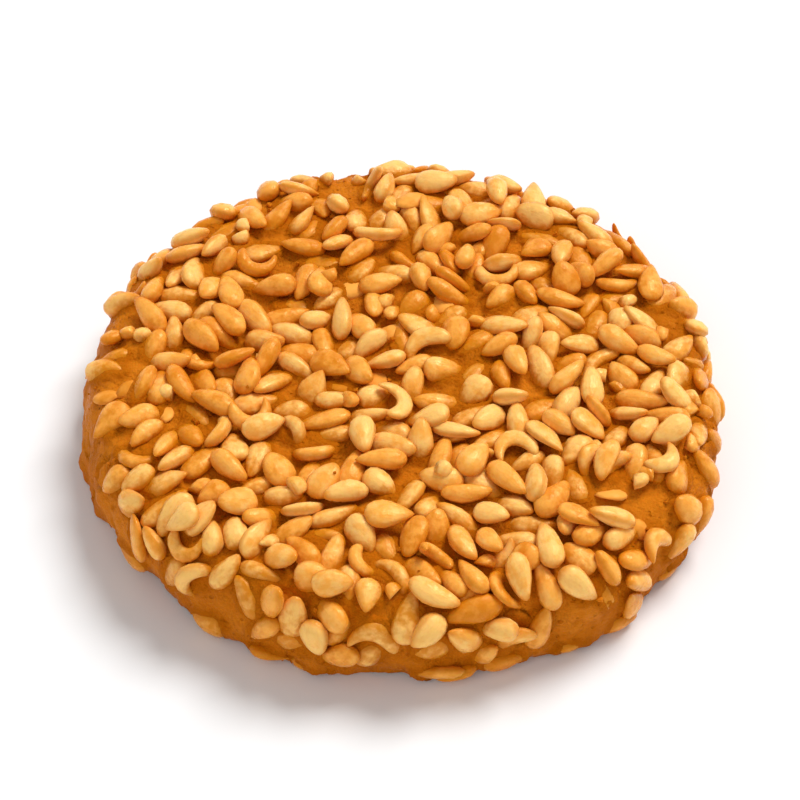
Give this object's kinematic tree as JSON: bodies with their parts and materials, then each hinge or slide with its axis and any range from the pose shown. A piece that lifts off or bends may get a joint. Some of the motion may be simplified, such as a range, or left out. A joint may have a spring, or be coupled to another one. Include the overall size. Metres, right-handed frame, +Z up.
{
  "type": "barazek",
  "caption": "Small round crisp biscuit: a thin pressed disc with a flat baked underside, a rounded uneven rim and a face thickly coated with toasted sesame seeds.",
  "frame": {"origin": "centre of the base, on the surface that the biscuit rests on", "axes": "+Z up through the thickness, from the flat underside to the seeded face; X and Y across the disc"},
  "size_m": [0.0466, 0.0456, 0.0083],
  "materials": {
    "baked_dough": "golden-brown baked biscuit dough with a thin syrup sheen",
    "toasted_sesame": "pale golden toasted sesame seeds, satin"
  },
  "bodies": {
    "root": {"biscuit": "baked_dough"}
  },
  "joints": []
}
